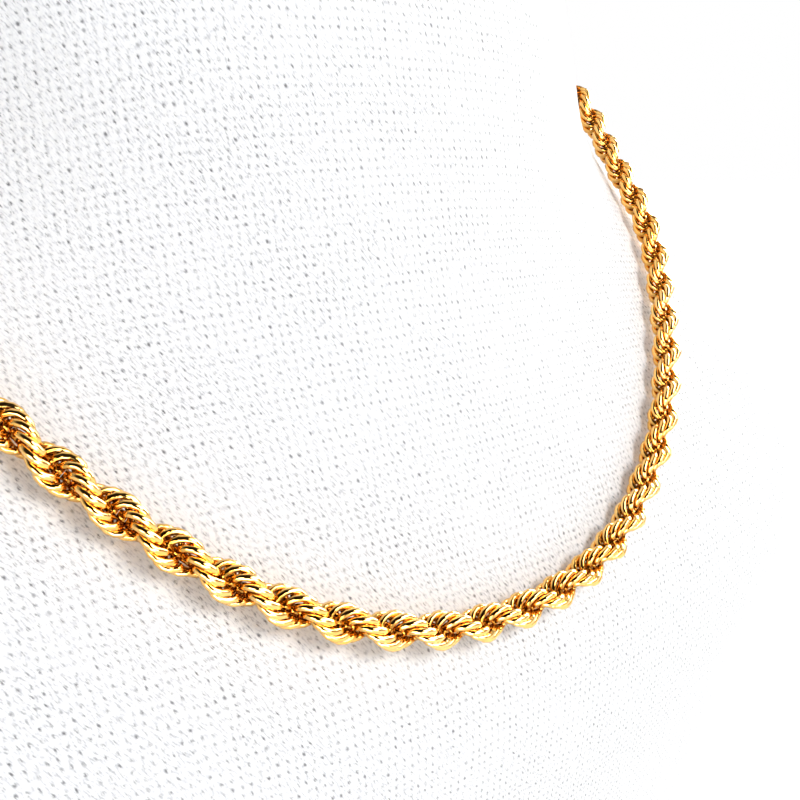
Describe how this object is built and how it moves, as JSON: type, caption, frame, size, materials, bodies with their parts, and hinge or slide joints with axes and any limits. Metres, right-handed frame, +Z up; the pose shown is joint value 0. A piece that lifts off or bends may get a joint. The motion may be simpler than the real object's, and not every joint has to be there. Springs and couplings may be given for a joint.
{
  "type": "rope chain on neck bust",
  "caption": "Gold rope chain of twisted interlinked rings, closed at the nape with a spring ring, lying round a linen-covered neck bust that stands on its flat base.",
  "frame": {"origin": "middle of the bust's flat base, which is the middle of the whole object's bounding box at its bottom", "axes": "+Z up along the neck, -Y towards the chest, +X to the viewer's right as seen from the front"},
  "size_m": [0.276, 0.1532, 0.29],
  "materials": {
    "gold": "polished",
    "linen": "matte woven"
  },
  "bodies": {
    "root": {"neck_bust": "linen", "rope_chain": "gold", "end_cap_left": "gold", "end_cap_right": "gold", "jump_ring_left": "gold", "jump_ring_right": "gold", "spring_ring": "gold"}
  },
  "joints": []
}
